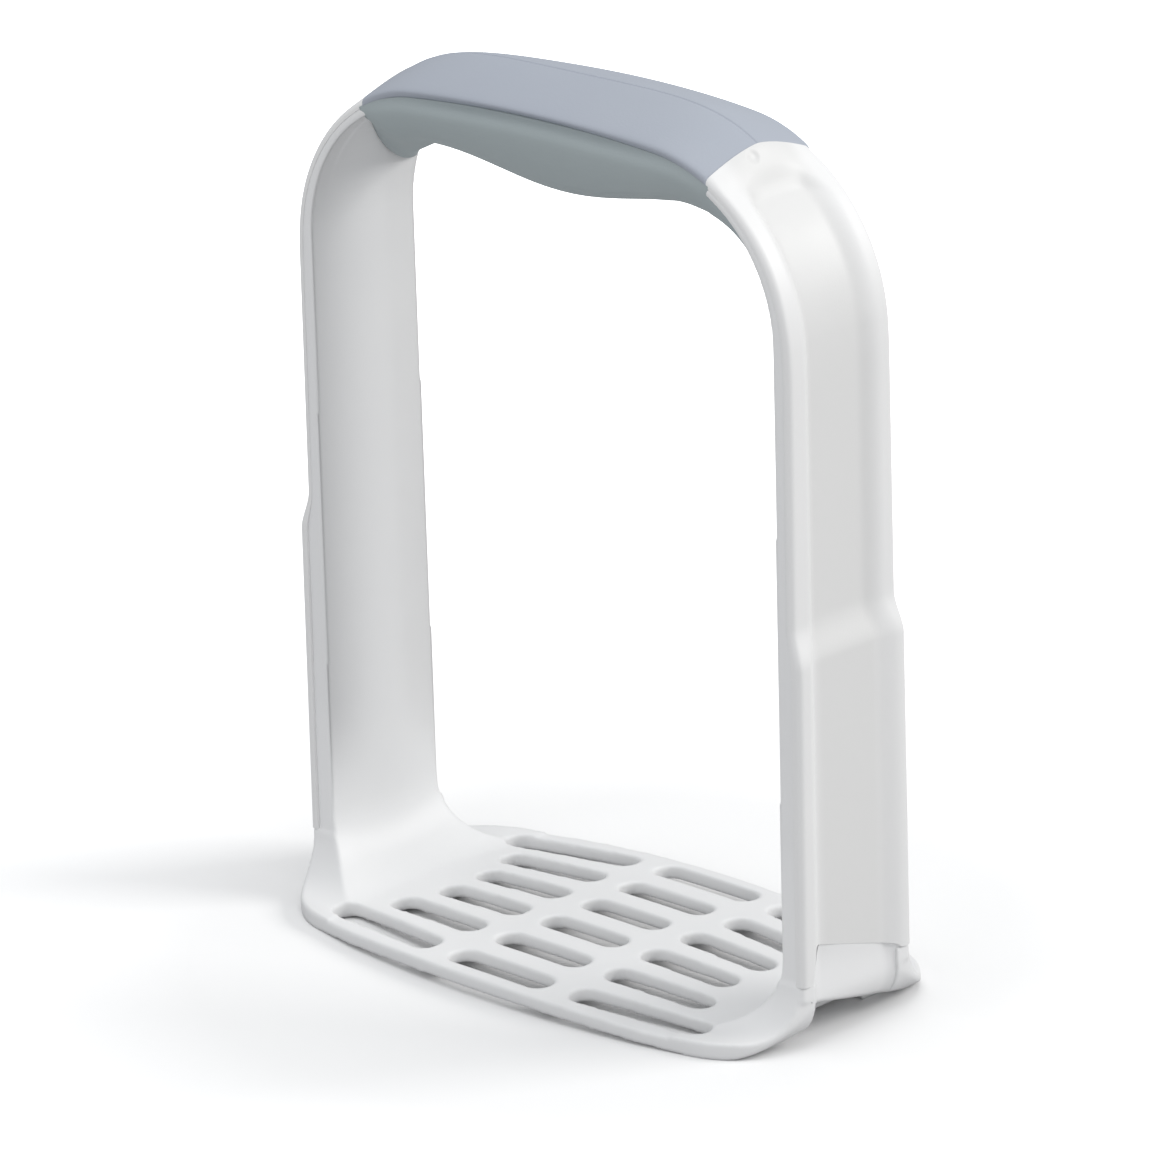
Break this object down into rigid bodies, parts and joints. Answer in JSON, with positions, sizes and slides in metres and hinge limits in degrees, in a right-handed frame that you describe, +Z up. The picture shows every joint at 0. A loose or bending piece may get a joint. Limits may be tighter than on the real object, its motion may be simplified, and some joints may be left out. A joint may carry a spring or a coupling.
{
  "type": "potato masher",
  "caption": "White plastic potato masher with a slotted domed plate, two upright legs and a closed handle with a soft grey cross grip",
  "frame": {"origin": "middle of the footprint, at the height of the table that the plate's four corners stand on", "axes": "X along the cross grip, Y from front to back, +Z up from the plate to the grip"},
  "size_m": [0.1302, 0.0696, 0.173],
  "materials": {
    "frame_plastic": "satin",
    "cover_plastic": "satin",
    "grip_upper": "soft matte",
    "grip_lower": "soft matte"
  },
  "bodies": {
    "root": {"masher_frame": "frame_plastic", "handle_cover": "cover_plastic", "grip_upper_pad": "grip_upper", "grip_lower_pad": "grip_lower"}
  },
  "joints": []
}
